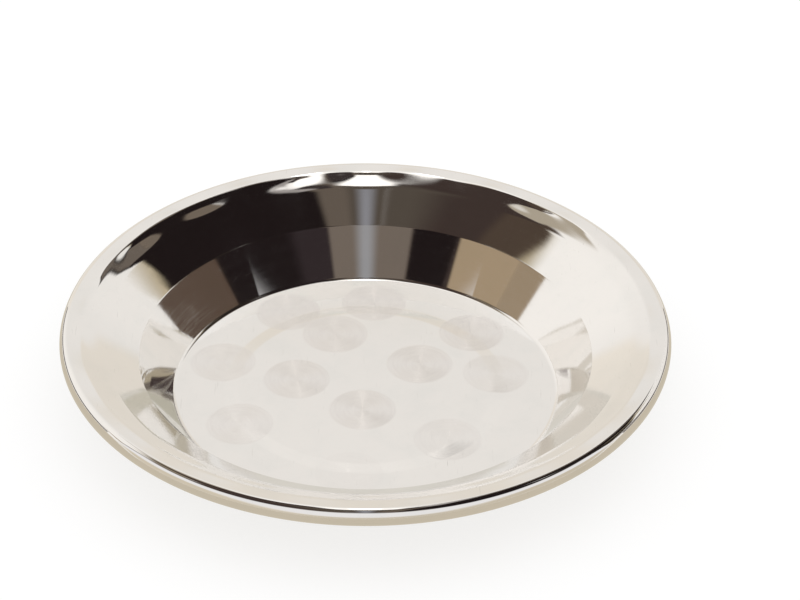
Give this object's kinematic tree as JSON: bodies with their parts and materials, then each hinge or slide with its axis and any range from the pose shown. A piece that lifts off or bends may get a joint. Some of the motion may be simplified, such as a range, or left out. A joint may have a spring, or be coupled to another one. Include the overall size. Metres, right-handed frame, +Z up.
{
  "type": "dinner plate",
  "caption": "Deep round dinner plate pressed from polished steel sheet, with a creased wall, a flat well with turned spots and an edge rolled over a stiffening wire.",
  "frame": {"origin": "centre of the plate, on the surface that it stands on", "axes": "+Z up along the plate's axis, out of the open side; -Y towards the viewer in the picture, +X to the right"},
  "size_m": [0.254, 0.254, 0.0338],
  "materials": {
    "polished_steel": "polished",
    "steel_wire": "satin"
  },
  "bodies": {
    "root": {"dish": "polished_steel", "rim_wire": "steel_wire"}
  },
  "joints": []
}
